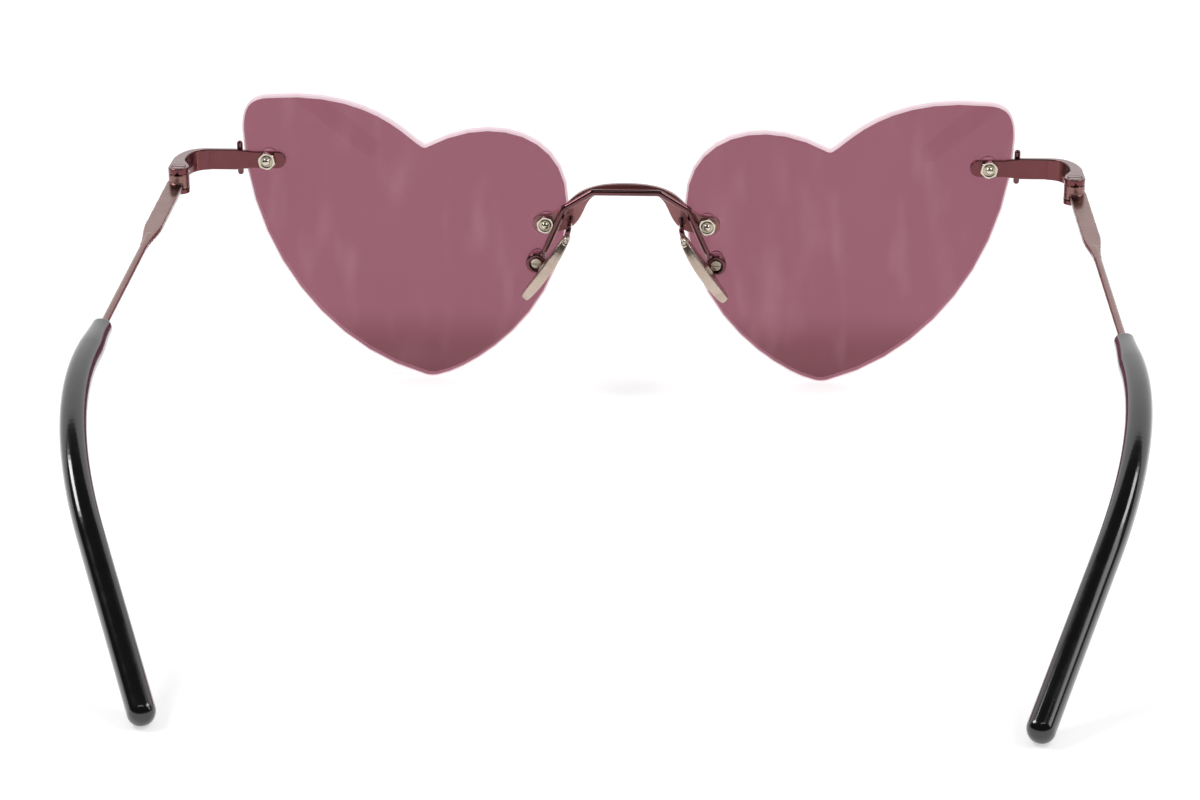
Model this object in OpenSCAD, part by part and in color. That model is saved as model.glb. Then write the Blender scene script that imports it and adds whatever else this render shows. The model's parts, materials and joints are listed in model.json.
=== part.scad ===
// Heart-shaped rimless sunglasses, standing as they are put down on a table: on the
// two lower points of the lenses and the two ends of the temple tips.
// +X is the wearer's right, +Y is the front of the lenses and +Z is up. The origin is
// on the table, under the middle of the whole.
//
// Every fitting is bolted through a drilled lens. Each side piece is drawn once, for
// the wearer's right, in a working frame whose Y = 0 is the back face of the lenses.

/* [Lenses] */
// Width of one lens
lens_w = 54.5; // [52:0.5:57]
// Height of one lens
lens_h = 49.3; // [47:0.1:51]
// Thickness of a lens
lens_t = 2.0; // [1.6:0.1:2.4]
// Gap between the two lenses at the nose
lens_gap = 19.6; // [18:0.2:22]

/* [Drilling] */
// Height of the end pieces and their holes above the table
arm_z = 38.4; // [37:0.1:39]
// Distance of the outer hole from the lens's outer edge
outer_inset = 4.2; // [3.8:0.1:5]
// Distance of the upper nose hole from the lens's inner edge
upper_inset = 3.75; // [3.5:0.05:4.2]
// Height of the upper nose hole
upper_z = 27.9; // [27:0.1:28.6]
// Distance of the lower nose hole from the lens's inner edge
lower_inset = 5.3; // [5:0.1:6]
// Height of the lower nose hole
lower_z = 21.2; // [20.6:0.1:21.8]
// Radius of a drilled hole
hole_r = 1.0; // [0.95:0.01:1.1]

/* [Fasteners] */
// Radius of a lens screw's thread
screw_r = 0.7; // [0.6:0.01:0.75]
// Radius of a lens screw's head, at the front
head_r = 1.2; // [1.1:0.05:1.4]
// Height of a lens screw's head
head_h = 0.6; // [0.4:0.05:0.8]
// Width of a screw slot
slot_w = 0.3; // [0.2:0.05:0.4]
// Depth of a screw slot
slot_deep = 0.25; // [0.15:0.05:0.3]
// Size of a cap nut across its flats
nut_flats = 2.65; // [2.5:0.05:2.8]
// Height of a cap nut's hexagon
nut_h = 1.0; // [0.8:0.05:1.2]
// Chamfer on the hexagon's corners
nut_chamfer = 0.15; // [0.1:0.01:0.2]
// Width of the hexagon's rim round the dish under its dome
nut_rim = 0.2; // [0.15:0.01:0.25]
// Turn of the hexagon from lying with a corner sideways, in degrees
nut_turn = 18; // [0:1:30]
// Radius of a cap nut's dome
dome_r = 0.75; // [0.7:0.01:0.85]
// Thickness of a cap nut's wall over its thread
nut_wall = 0.25; // [0.2:0.05:0.35]
// Height of a cap nut's dome
dome_h = 0.7; // [0.6:0.05:0.9]
// Radius of a plastic washer
washer_r = 1.35; // [1.25:0.05:1.5]
// Thickness of a plastic washer
washer_t = 0.2; // [0.15:0.05:0.3]

/* [End pieces] */
// Thickness of the end piece's strap
arm_t = 0.95; // [0.8:0.05:1.1]
// Height of the strap outside the lens
arm_h = 3.5; // [3.2:0.1:3.8]
// Height of the tongue on the lens
tongue_h = 2.85; // [2.7:0.05:3.1]
// Reach of the tongue past its hole
tongue_reach = 3.1; // [2.8:0.1:3.5]
// Distance inside the lens edge at which the tongue starts to widen
widen_in = 1.9; // [1.5:0.1:2.3]
// Distance outside the lens edge at which it has widened
widen_out = 1.1; // [0.8:0.1:1.5]
// Run of the corner across the front
corner_x = 4.6; // [4.2:0.1:5.2]
// Run of the corner towards the back
corner_y = 6.3; // [5.8:0.1:6.8]
// Thickness of the end piece where the corner ends
corner_wall = 2.0; // [1.8:0.1:2.3]
// Radius of the post that rests against the lens edge
post_r = 0.5; // [0.4:0.05:0.6]
// Length of that post between the centres of its round ends
post_h = 4.9; // [4.6:0.1:5.4]

/* [Hinges] */
// Distance of the hinge axis outside the lens edge
hinge_out = 8.9; // [8.5:0.1:9.5]
// Distance of the hinge axis behind the lenses
hinge_back = 11.5; // [11:0.1:12.2]
// Radius of the hinge barrel
barrel_r = 1.7; // [1.6:0.05:1.8]
// Height of the upper knuckle
top_knuckle_h = 1.1; // [1:0.05:1.3]
// Height of the temple's knuckle
mid_knuckle_h = 2.4; // [2.3:0.05:2.6]
// Height of the lower knuckle
low_knuckle_h = 0.7; // [0.6:0.05:0.9]
// Radius of the hinge screw
pin_r = 0.7; // [0.6:0.05:0.75]
// Radius of the hinge screw's head
pin_head_r = 1.15; // [1.1:0.05:1.25]
// Height of the hinge screw's head
pin_head_h = 0.5; // [0.4:0.05:0.6]

/* [Temples] */
// Width of the blade
blade_w = 2.85; // [2.7:0.05:3.1]
// Thickness of the blade
blade_t = 0.95; // [0.8:0.05:1.1]
// Distance of the blade's middle line outside the hinge axis
blade_out = 0.5; // [0.4:0.05:0.6]
// Length of the blade at its full width
blade_len = 18; // [15:0.5:21]
// Length over which the blade narrows to the wire
taper_len = 9; // [7:0.5:11]
// Radius of the temple wire
wire_r = 0.6; // [0.5:0.05:0.7]
// Downward slope of a temple, in degrees
slope = 5.1; // [4.7:0.1:5.5]
// Outward lean of a temple, in degrees
splay = 1.6; // [1:0.1:2]

/* [Temple tips] */
// Distance from the hinge to the start of the tip
tip_from = 57.5; // [54:0.5:60]
// Distance from the hinge to the start of the bend
bend_from = 67.6; // [66:0.2:69]
// Radius of the bend behind the ear
bend_r = 59.2; // [56:0.2:62]
// Angle of the bend, in degrees
bend_angle = 38.0; // [37:0.1:39]
// Inward tilt of the bend's plane, in degrees
bend_tilt = 37.0; // [35:0.1:39]
// Radius of the tip
tip_r = 1.95; // [1.85:0.05:2.1]
// Radius of the tip where it starts
tip_mouth_r = 1.55; // [1.4:0.05:1.7]
// Rounding of the tip's mouth
tip_round = 0.6; // [0.4:0.05:0.7]
// Length of the wire inside the tip
core_len = 9.0; // [7:0.5:9.5]

/* [Bridge] */
// Height of the bridge strap's top edge
bridge_z = 35.0; // [34.6:0.1:35.6]
// Height of the bridge strap at its middle
strap_h = 1.3; // [1.1:0.05:1.5]
// Thickness of the bridge strap
strap_t = 1.0; // [0.9:0.05:1.1]
// Radius of the strap's tongues
strap_tongue_r = 1.6; // [1.5:0.05:1.7]
// Reach of a strap's tongue past its hole
strap_reach = 0.6; // [0.4:0.05:0.8]
// Radius of the bridge wire
rod_r = 0.53; // [0.48:0.01:0.58]
// Distance of the bridge wire's middle line behind the lenses
rod_back = 2.85; // [2.8:0.05:3]
// Depth of the bridge wire's middle line below the strap's top edge
rod_low = 1.0; // [0.9:0.05:1.2]
// Radius of an eyelet cup
cup_r = 1.75; // [1.65:0.05:1.9]
// Depth of an eyelet cup
cup_deep = 2.1; // [1.9:0.05:2.3]
// Radius of the recess in an eyelet cup
recess_r = 1.15; // [1.1:0.05:1.25]
// Depth of that recess
recess_deep = 0.9; // [0.8:0.05:1]
// Radius of an eyelet screw's head
eye_head_r = 0.85; // [0.8:0.05:0.95]
// Height of an eyelet screw's head
eye_head_h = 0.75; // [0.65:0.05:0.8]
// Radius of the round nut on the front of an eyelet screw
eye_nut_r = 1.3; // [1.2:0.05:1.4]
// Height of that round nut
eye_nut_h = 0.8; // [0.7:0.05:1]
// Rounding of an eyelet cup's back edge
cup_round = 0.5; // [0.4:0.05:0.55]
// Radius of the short stays between wire and strap
stay_r = 0.48; // [0.4:0.02:0.55]

/* [Nose pads] */
// Length of a pad
pad_len = 13.4; // [12.5:0.1:14]
// Width of a pad, from front to back
pad_w = 6.3; // [6:0.1:6.6]
// Thickness of a pad at its middle
pad_t = 1.8; // [1.7:0.05:1.9]
// Fullness of the pad's outline: 2 is an ellipse, more is squarer
pad_power = 2.6; // [2.3:0.1:3]
// Distance of a pad's middle from the middle of the nose
pad_u = 13.65; // [13.3:0.05:14]
// Height of a pad's middle
pad_z = 22.5; // [22.2:0.05:22.8]
// Distance of a pad's middle behind the lenses
pad_back = 6.7; // [6.6:0.05:7]
// Lean of a pad from upright, seen from behind, in degrees
pad_lean = 35; // [33:0.5:37]
// Opening of the pads towards the face, in degrees
pad_flare = 5; // [3:0.5:7]
// Height of the pad's pivot above its middle, along the pad
pivot_up = 5.9; // [5.8:0.05:6]
// Distance of the pivot inside the pad's back
pivot_in = 0.56; // [0.52:0.01:0.6]
// Radius of the eye at the end of a pad arm
eye_r = 0.55; // [0.5:0.01:0.6]
// Thickness of that eye
eye_t = 0.95; // [0.9:0.01:1]
// Radius of a pad screw
pad_pin_r = 0.33; // [0.3:0.01:0.36]
// Length of a pad screw
pad_pin_len = 3.4; // [3.2:0.1:3.6]
// Radius of a pad arm
pad_arm_r = 0.44; // [0.42:0.01:0.46]

/* [Fits] */
// Radial gap between a fastener and its hole
screw_gap = 0.03; // [0.02:0.01:0.05]
// Radial gap between a hinge screw and the temple's knuckle
pin_gap = 0.04; // [0.02:0.01:0.06]
// Gap above and below a knuckle
knuckle_gap = 0.05; // [0.04:0.01:0.1]
// Gap between the temple's knuckle and the wall before it
barrel_gap = 0.15; // [0.1:0.05:0.2]
// Gap round the eye in a pad's slot
eye_gap = 0.08; // [0.06:0.01:0.1]
// Gap between the post and the widest point of the lens
post_gap = 0.02; // [0.01:0.01:0.05]

/* [Hidden] */
$fn = 64;
// Overrun of every cut past the face that it opens
cut = 1;
// Steps along a curve and sides of a bent wire
curve_steps = 10;
wire_sides = 14;
oval_steps = 48;

// Edges and hole places, as distances from the middle of the nose
lens_in = lens_gap / 2;
lens_out = lens_in + lens_w;
outer_u = lens_out - outer_inset;
upper_u = lens_in + upper_inset;
lower_u = lens_in + lower_inset;
holes = [[outer_u, arm_z], [upper_u, upper_z], [lower_u, lower_z]];

// The heart, as shares of the lens's width from its nose side and of its height:
// outer side, outer shoulder, outer lobe, notch, nose lobe, nose side and point
heart_shares = [
    [[0.455, 0.005], [0.756, 0.101], [0.993, 0.450], [1.000, 0.876]],
    [[1.000, 0.876], [1.000, 0.953], [0.980, 0.994], [0.914, 0.996]],
    [[0.914, 0.996], [0.600, 1.027], [0.492, 0.859], [0.448, 0.832]],
    [[0.448, 0.832], [0.443, 0.828], [0.438, 0.828], [0.433, 0.831]],
    [[0.433, 0.831], [0.220, 0.959], [0.000, 0.870], [0.000, 0.639]],
    [[0.000, 0.639], [0.000, 0.213], [0.328, 0.022], [0.400, 0.006]],
    [[0.400, 0.006], [0.418, -0.0018], [0.440, -0.0018], [0.455, 0.005]],
];

// Hinge place and the heights of its knuckles
hinge_u = lens_out + hinge_out;
hinge_y = -hinge_back;
arm_top = arm_z + arm_h / 2;
arm_low = arm_z - arm_h / 2;
mid_top = arm_top - top_knuckle_h - knuckle_gap;
mid_low = mid_top - mid_knuckle_h;
fork_top = mid_low - knuckle_gap;
fork_low = fork_top - low_knuckle_h;

// Depth of the dish round a cap nut's dome, as a share of the wall over its thread
dish_share = 0.8;
dish_deep = nut_wall * dish_share;

// Corner of the end piece in plan, as shares of its two runs
corner_outer_shares = [[0, 0], [0.56, 0], [0.90, 0.36], [1, 1]];
corner_inner_shares = [[0, 0], [0.6, 0], [1, 0.3], [1, 1]];
// Where the end piece deepens into the fork, as shares of the hinge's distance
fork_from_share = 0.52;
fork_to_share = 0.70;

// Temple's middle line: a straight run, a bend and a straight end on the table
blade_z = mid_low + blade_t / 2 + barrel_r * tan(slope);
blade_u = hinge_u + blade_out;
bend_end = [
    -sin(bend_tilt) * bend_r * (1 - cos(bend_angle)),
    -bend_from - bend_r * sin(bend_angle),
    -cos(bend_tilt) * bend_r * (1 - cos(bend_angle)),
];
end_dir = [
    -sin(bend_tilt) * sin(bend_angle),
    -cos(bend_angle),
    -cos(bend_tilt) * sin(bend_angle),
];
end_len = (blade_z + rise(bend_end) - tip_r) / -rise(end_dir);
tip_end = bend_end + end_len * end_dir;
// The bent stretch is a trifle thinner than the straight ones, which lap over it
end_step = 0.01;
end_lap = 0.2;
bent_r = tip_r - end_step;

// Front to back: the working frame is moved so that the origin lies midway
reach_front = lens_t + washer_t + max(head_h, eye_nut_h);
reach_back = hinge_back - setback(tip_end) + tip_r;
frame_shift = (reach_back - reach_front) / 2;

// Bridge strap's edges, as shares of its half span and of its drop
strap_top_shares = [
    [[0, 0], [0.315, 0], [0.505, 0.111], [0.630, 0.347]],
    [[0.630, 0.347], [0.747, 0.569], [0.790, 0.778], [1, 0.778]],
];
strap_low_shares = [
    [[0, 0], [0.278, 0], [0.410, 0.035], [0.483, 0.370]],
    [[0.483, 0.370], [0.571, 0.750], [0.615, 1], [1, 1]],
];
// Bridge wire's middle line, as shares of the way across and down to the cup, and of
// the way from its set-back to the middle of the cup
rod_shares = [
    [[0, 0, 0], [0.21, 0, 0], [0.33, 0.003, 0], [0.43, 0.045, 0]],
    [[0.43, 0.045, 0], [0.60, 0.12, 0], [0.70, 0.22, 0], [0.762, 0.39, 0]],
    [[0.762, 0.39, 0], [0.815, 0.535, 0], [0.855, 0.672, 0], [0.893, 0.79, 0.1]],
    [[0.893, 0.79, 0.1], [0.91, 0.845, 0.17], [0.93, 0.89, 0.75], [0.97, 0.935, 1]],
];
// Place of a stay on the strap, as shares of its half span and of its drop
stay_share = [0.749, 0.627];
stay_len = rod_back - washer_t - strap_t;

// Pad arm: its solder foot on the strap, and its middle line as shares of the way
// across, back and down from the foot to the pad's pivot
arm_foot_share = [0.69, 0.885];
arm_foot_r = 0.65;
pad_arm_shares = [
    [[0, 0, 0], [0, 0.30, 0], [0, 0.60, 0], [0, 0.89, 0]],
    [[0, 0.89, 0], [0, 0.96, 0], [0.1, 1, 0.13], [0.3, 1, 0.30]],
    [[0.3, 1, 0.30], [0.5, 1, 0.50], [0.8, 1, 0.80], [1, 1, 1]],
];
arm_top_y = -washer_t - strap_t - pad_arm_r / 2;

// A pad seen from its edge, from its back over the thin top end, along the side
// towards the nose and round the lower end, as shares of its half length and thickness
pad_side_shares = [
    [[-0.92, 0], [-0.975, 0], [-1, -0.12], [-1, -0.28]],
    [[-1, -0.28], [-1, -0.46], [-0.96, -0.59], [-0.86, -0.68]],
    [[-0.86, -0.68], [-0.62, -0.90], [-0.30, -1], [0.02, -1]],
    [[0.02, -1], [0.36, -1], [0.62, -0.93], [0.84, -0.80]],
    [[0.84, -0.80], [0.95, -0.73], [1, -0.62], [1, -0.44]],
    [[1, -0.44], [1, -0.16], [0.96, 0], [0.90, 0]],
];

// Height and set-back of a direction that is given in a temple's own tilted frame
function rise(v) = v[1] * sin(slope) + v[2] * cos(slope);
function setback(v) =
    v[0] * sin(splay) + (v[1] * cos(slope) - v[2] * sin(slope)) * cos(splay);

// Points along a cubic curve with four control points, without its last one
function curve(c, steps = curve_steps) = [
    for (i = [0 : steps - 1])
        let (t = i / steps)
            c[0] * pow(1 - t, 3) + c[1] * 3 * pow(1 - t, 2) * t
                + c[2] * 3 * (1 - t) * pow(t, 2) + c[3] * pow(t, 3)
];
function curves(list) = [for (c = list) each curve(c)];
function arc(centre, r, from, to, steps = 2 * curve_steps) = [
    for (i = [0 : steps])
        let (w = from + (to - from) * i / steps) centre + r * [cos(w), sin(w)]
];
function last_point(list) = list[len(list) - 1][3];
function reversed(list) = [for (i = [len(list) - 1 : -1 : 0]) list[i]];

// A table of shares placed from a start point along two runs
function placed(shares, start, run) = [
    for (p = shares) [start[0] + p[0] * run[0], start[1] + p[1] * run[1]]
];

function unit(v) = v / norm(v);
function tangent(path, i) =
    unit(path[min(i + 1, len(path) - 1)] - path[max(i - 1, 0)]);

// A round wire of radius r along a path; side is any direction that the path avoids
module bent_wire(path, r, side) {
    rings = [
        for (i = [0 : len(path) - 1])
            let (t = tangent(path, i), a = unit(cross(t, side)), b = cross(t, a))
                for (k = [0 : wire_sides - 1])
                    let (w = 360 * k / wire_sides)
                        path[i] + r * (cos(w) * a + sin(w) * b)
    ];
    last = len(path) - 1;
    polyhedron(
        points = rings,
        faces = concat(
            [[for (k = [0 : wire_sides - 1]) k]],
            [
                for (i = [0 : last - 1], k = [0 : wire_sides - 1])
                    let (p = i * wire_sides, n = (k + 1) % wire_sides)
                        [p + k, p + k + wire_sides, p + n + wire_sides, p + n]
            ],
            [[for (k = [wire_sides - 1 : -1 : 0]) last * wire_sides + k]]
        ),
        convexity = 6
    );
}

// Working frame to the part's own frame, and the two sides
module in_frame() translate([0, frame_shift, 0]) children();
module on_right() in_frame() children();
module on_left() in_frame() mirror([1, 0, 0]) children();
module on_both() {
    on_right() children();
    on_left() children();
}

// A shape drawn in X and Z, given a thickness from y towards the back
module sheet(y, t) translate([0, y, 0]) rotate([90, 0, 0]) linear_extrude(t) children();

// A cylinder that runs towards the back from y, at the place [u, z]
module rod_back_from(place, y, r, h, sides = $fn)
    translate([place[0], y, place[1]]) rotate([90, 0, 0]) cylinder(r = r, h = h, $fn = sides);

// Lens: a flat heart with three drilled holes
module lens() {
    outline = placed(curves(heart_shares), [lens_in, 0], [lens_w, lens_h]);
    difference() {
        sheet(lens_t, lens_t) polygon(outline);
        for (p = holes) rod_back_from(p, lens_t + cut, hole_r, lens_t + 2 * cut);
    }
}

// Plastic sleeve in a drilled hole
module bushing(place) {
    difference() {
        rod_back_from(place, lens_t, hole_r - screw_gap, lens_t);
        rod_back_from(place, lens_t + cut, screw_r + screw_gap, lens_t + 2 * cut);
    }
}

// Clear washers under the head at the front and under the fitting at the back
module washer(place, y) {
    difference() {
        rod_back_from(place, y, washer_r, washer_t);
        rod_back_from(place, y + cut, screw_r + screw_gap, washer_t + 2 * cut);
    }
}

// Slotted screw from the front, through lens and tongue, into its cap nut
module lens_screw(place, plate_t) {
    head_y = lens_t + washer_t + head_h;
    thread = nut_h - nut_wall - screw_gap;
    difference() {
        union() {
            rod_back_from(place, head_y, head_r, head_h);
            rod_back_from(place, head_y, screw_r, head_y + washer_t + plate_t + thread);
        }
        translate([place[0] - head_r - cut, head_y - slot_deep, place[1] - slot_w / 2])
            cube([2 * (head_r + cut), slot_deep + cut, slot_w]);
    }
}

// Hexagon cap nut with chamfered corners and a dome that rises from a shallow dish
module cap_nut(place, plate_t) {
    corner_r = nut_flats / 2 / cos(30);
    face_r = corner_r - nut_chamfer;
    dome_rise = dish_deep + dome_h;
    translate([place[0], -washer_t - plate_t, place[1]]) rotate([90, 0, 0]) difference() {
        union() {
            intersection() {
                rotate([0, 0, nut_turn]) cylinder(r = corner_r, h = nut_h, $fn = 6);
                rotate_extrude() polygon([
                    [0, 0], [corner_r, 0], [corner_r, nut_h - nut_chamfer], [face_r, nut_h],
                    [nut_flats / 2 - nut_rim, nut_h], [dome_r, nut_h - dish_deep],
                    [0, nut_h - dish_deep],
                ]);
            }
            translate([0, 0, nut_h - dish_deep]) rotate_extrude()
                polygon(concat([[0, 0]], [
                    for (w = [0 : 90 / curve_steps : 90]) [dome_r * cos(w), dome_rise * sin(w)]
                ]));
        }
        translate([0, 0, -cut]) cylinder(r = screw_r + screw_gap, h = nut_h - nut_wall + cut);
    }
}

// End piece: tongue, strap, corner and the two outer knuckles of the hinge
module end_piece() {
    wide_u = lens_out + widen_out;
    neck_u = lens_out - widen_in;
    tongue_end = outer_u - tongue_reach + tongue_h / 2;
    difference() {
        union() {
            sheet(-washer_t, arm_t) polygon(concat(
                arc([tongue_end, arm_z], tongue_h / 2, 90, 270),
                [
                    [neck_u, arm_z - tongue_h / 2], [wide_u, arm_low],
                    [wide_u, arm_top], [neck_u, arm_z + tongue_h / 2],
                ]
            ));
            intersection() {
                translate([0, 0, fork_low]) linear_extrude(arm_top - fork_low) {
                    end_piece_plan(wide_u);
                    translate([hinge_u, hinge_y]) circle(barrel_r);
                }
                translate([hinge_u + 2 * barrel_r, 0, 0]) rotate([90, 0, -90])
                    linear_extrude(hinge_out + 3 * barrel_r) end_piece_side();
            }
        }
        rod_back_from([outer_u, arm_z], cut, screw_r + screw_gap, arm_t + washer_t + 2 * cut);
        hinge_room();
        translate([hinge_u, hinge_y, arm_top - pin_head_h])
            cylinder(r = pin_head_r + screw_gap, h = pin_head_h + cut);
        translate([hinge_u, hinge_y, fork_low - cut])
            cylinder(r = pin_r + screw_gap, h = arm_top - fork_low + cut);
    }
}

// End piece seen from above
module end_piece_plan(wide_u) {
    outer_x = hinge_u + barrel_r;
    start = [outer_x - corner_x, -washer_t];
    inner_run = [corner_x - corner_wall + arm_t, corner_y - arm_t];
    inner_start = [outer_x - corner_wall - inner_run[0], -washer_t - arm_t];
    outer_side = curve(placed(corner_outer_shares, start, [corner_x, -corner_y]));
    inner_side = curve(placed(corner_inner_shares, inner_start, [inner_run[0], -inner_run[1]]));
    flare = curve([
        [outer_x - corner_wall, -washer_t - corner_y],
        [outer_x - corner_wall, -washer_t - corner_y - corner_wall],
        [hinge_u - barrel_r, hinge_y + corner_wall],
        [hinge_u - barrel_r, hinge_y],
    ]);
    polygon(concat(
        [[wide_u, -washer_t]], outer_side,
        [[outer_x, -washer_t - corner_y], [outer_x, hinge_y], [hinge_u - barrel_r, hinge_y]],
        reversed(flare), reversed(inner_side), [[wide_u, -washer_t - arm_t]]
    ));
}

// End piece seen from its side, with y counted backwards along the first axis
module end_piece_side() {
    polygon([
        [0, arm_low], [hinge_back * fork_from_share, arm_low],
        [hinge_back * fork_to_share, fork_low], [hinge_back + 2 * barrel_r, fork_low],
        [hinge_back + 2 * barrel_r, arm_top], [0, arm_top],
    ]);
}

// Room in which the temple's knuckle and blade turn
module hinge_room() {
    room_h = top_knuckle_start() - fork_top;
    room_r = barrel_r + barrel_gap;
    side_reach = blade_w / 2 - blade_out + barrel_gap;
    translate([hinge_u, hinge_y, fork_top]) {
        cylinder(r = room_r, h = room_h);
        translate([-room_r - cut, -room_r - cut, 0])
            cube([2 * (room_r + cut), room_r + cut, room_h]);
        translate([-room_r - cut, -room_r - cut, 0])
            cube([room_r + cut, room_r + cut + side_reach, room_h]);
    }
}
function top_knuckle_start() = arm_top - top_knuckle_h;

// Round post that rests against the lens edge and keeps the lens from turning
module edge_post() {
    translate([lens_out + post_gap + post_r, post_r - washer_t, arm_z - post_h / 2]) {
        cylinder(r = post_r, h = post_h);
        sphere(post_r);
        translate([0, 0, post_h]) sphere(post_r);
    }
}

// Slotted screw that is the hinge's pin
module hinge_screw() {
    translate([hinge_u, hinge_y, 0]) difference() {
        union() {
            translate([0, 0, fork_low]) cylinder(r = pin_r, h = arm_top - fork_low);
            translate([0, 0, arm_top - pin_head_h]) cylinder(r = pin_head_r, h = pin_head_h);
        }
        translate([-pin_head_r - cut, -slot_w / 2, arm_top - slot_deep])
            cube([2 * (pin_head_r + cut), slot_w, slot_deep + cut]);
    }
}

// Temple frame: from the hinge, -Y runs along the temple
module along_temple()
    translate([blade_u, hinge_y, blade_z]) rotate([slope, 0, splay]) children();

// Half width of the blade at a share of its narrowing
function narrowing(t) = wire_r + (blade_w / 2 - wire_r) * (1 + cos(180 * t)) / 2;

// Temple: knuckle, flat blade and the wire that runs on into the tip
module temple() {
    half = [
        for (i = [0 : curve_steps])
            let (t = i / curve_steps) [narrowing(t), -blade_len - taper_len * t]
    ];
    difference() {
        union() {
            translate([hinge_u, hinge_y, mid_low]) cylinder(r = barrel_r, h = mid_knuckle_h);
            along_temple() {
                translate([0, 0, -blade_t / 2]) linear_extrude(blade_t) polygon(concat(
                    [[blade_w / 2, 0]], half,
                    [for (p = reversed(half)) [-p[0], p[1]]], [[-blade_w / 2, 0]]
                ));
                rod_back_from(
                    [0, 0], -blade_len - taper_len / 2, wire_r,
                    tip_from + core_len - blade_len - taper_len / 2
                );
            }
        }
        translate([hinge_u, hinge_y, mid_low - cut])
            cylinder(r = pin_r + pin_gap, h = mid_knuckle_h + 2 * cut);
    }
}

// Temple tip: a sleeve over the wire, bent behind the ear, with a round end
module temple_tip() {
    straight = bend_from - tip_from;
    mouth = [
        for (w = [0 : 90 / curve_steps : 90])
            [tip_mouth_r - tip_round * (1 - sin(w)), tip_round * (1 - cos(w))]
    ];
    along_temple() difference() {
        union() {
            translate([0, -tip_from, 0]) rotate([90, 0, 0]) rotate_extrude()
                polygon(concat([[0, 0]], mouth, [
                    [tip_r, straight], [tip_r, straight + end_lap], [0, straight + end_lap],
                ]));
            translate([0, -bend_from, 0]) rotate([0, bend_tilt, 0]) {
                translate([0, 0, -bend_r]) rotate([0, 90, 0]) rotate([0, 0, 180])
                    rotate_extrude(angle = bend_angle) translate([bend_r, 0]) circle(bent_r);
                translate([
                    0, -bend_r * sin(bend_angle), -bend_r * (1 - cos(bend_angle)),
                ]) rotate([90 + bend_angle, 0, 0]) {
                    translate([0, 0, -end_lap]) cylinder(r = tip_r, h = end_len + end_lap);
                    translate([0, 0, end_len]) sphere(tip_r);
                }
            }
        }
        rod_back_from([0, 0], -tip_from + cut, wire_r + screw_gap, core_len + screw_gap + cut);
    }
}

// Bridge strap: a flat arch whose ends are tongues on the two lenses
module bridge_strap() {
    span = upper_u + strap_reach;
    drop = bridge_z - upper_z + strap_tongue_r;
    low_z = bridge_z - strap_h;
    top_side = placed(curves(strap_top_shares), [0, bridge_z],
        [span, -(drop - 2 * strap_tongue_r) / last_point(strap_top_shares)[1]]);
    low_side = placed(curves(strap_low_shares), [0, low_z], [span, -(drop - strap_h)]);
    half = concat(
        top_side, arc([span, upper_z], strap_tongue_r, 90, -90), reversed(low_side)
    );
    difference() {
        sheet(-washer_t, strap_t) polygon(concat(
            half, [for (i = [len(half) - 2 : -1 : 1]) [-half[i][0], half[i][1]]]
        ));
        for (side = [-1, 1]) rod_back_from(
            [side * upper_u, upper_z], cut, screw_r + screw_gap, strap_t + washer_t + 2 * cut
        );
    }
}

// Place on the bridge strap, from shares of its half span and of its drop
function on_strap(share) = [share[0] * upper_u, bridge_z - share[1] * (bridge_z - upper_z)];

// Bridge wire behind the strap, with its two stays and its two eyelet cups
module bridge_wire() {
    rod_z = bridge_z - rod_low;
    cup_y = -washer_t - cup_deep / 2;
    half = concat(
        [for (p = curves(rod_shares)) rod_point(p, rod_z, cup_y)],
        [rod_point(last_point(rod_shares), rod_z, cup_y)]
    );
    whole = concat(
        [for (i = [len(half) - 1 : -1 : 1]) [-half[i][0], half[i][1], half[i][2]]], half
    );
    difference() {
        union() {
            bent_wire(whole, rod_r, [0, 1, 0]);
            for (side = [-1, 1]) {
                translate([side * lower_u, -washer_t, lower_z]) rotate([90, 0, 0])
                    rotate_extrude() polygon(cup_profile());
                rod_back_from(
                    [side * on_strap(stay_share)[0], on_strap(stay_share)[1]],
                    -washer_t - strap_t, stay_r, stay_len
                );
            }
        }
        for (side = [-1, 1]) {
            rod_back_from(
                [side * lower_u, lower_z], cut, screw_r + screw_gap,
                washer_t + cup_deep + 2 * cut
            );
            rod_back_from(
                [side * lower_u, lower_z], -washer_t - cup_deep + recess_deep, recess_r,
                recess_deep + cut
            );
        }
    }
}
function cup_profile() = concat(
    [[0, 0], [cup_r, 0]],
    arc([cup_r - cup_round, cup_deep - cup_round], cup_round, 0, 90, curve_steps),
    [[0, cup_deep]]
);
function rod_point(p, rod_z, cup_y) = [
    p[0] * lower_u,
    -rod_back + p[2] * (cup_y + rod_back),
    rod_z - p[1] * (rod_z - lower_z),
];

// Slotted screw in an eyelet cup, driven from the back
module eyelet_screw(place) {
    seat_y = -washer_t - cup_deep + recess_deep;
    difference() {
        union() {
            rod_back_from(place, seat_y, eye_head_r, eye_head_h);
            rod_back_from(place, reach_eye(), screw_r, reach_eye() - seat_y);
        }
        translate([
            place[0] - eye_head_r - cut, seat_y - eye_head_h - cut, place[1] - slot_w / 2,
        ]) cube([2 * (eye_head_r + cut), slot_deep + cut, slot_w]);
    }
}
function reach_eye() = lens_t + washer_t + eye_nut_h - slot_deep;

// Round nut at the front of an eyelet screw, with its outer edge rounded over
module eyelet_nut(place) {
    edge = eye_nut_h / 2;
    translate([place[0], lens_t + washer_t, place[1]]) rotate([-90, 0, 0]) difference() {
        rotate_extrude() polygon(concat(
            [[0, 0], [eye_nut_r, 0]],
            [
                for (w = [0 : 90 / curve_steps : 90])
                    [eye_nut_r - edge + edge * cos(w), eye_nut_h - edge + edge * sin(w)]
            ],
            [[0, eye_nut_h]]
        ));
        translate([0, 0, -cut])
            cylinder(r = screw_r + screw_gap, h = eye_nut_h - slot_deep + screw_gap + cut);
    }
}

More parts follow.
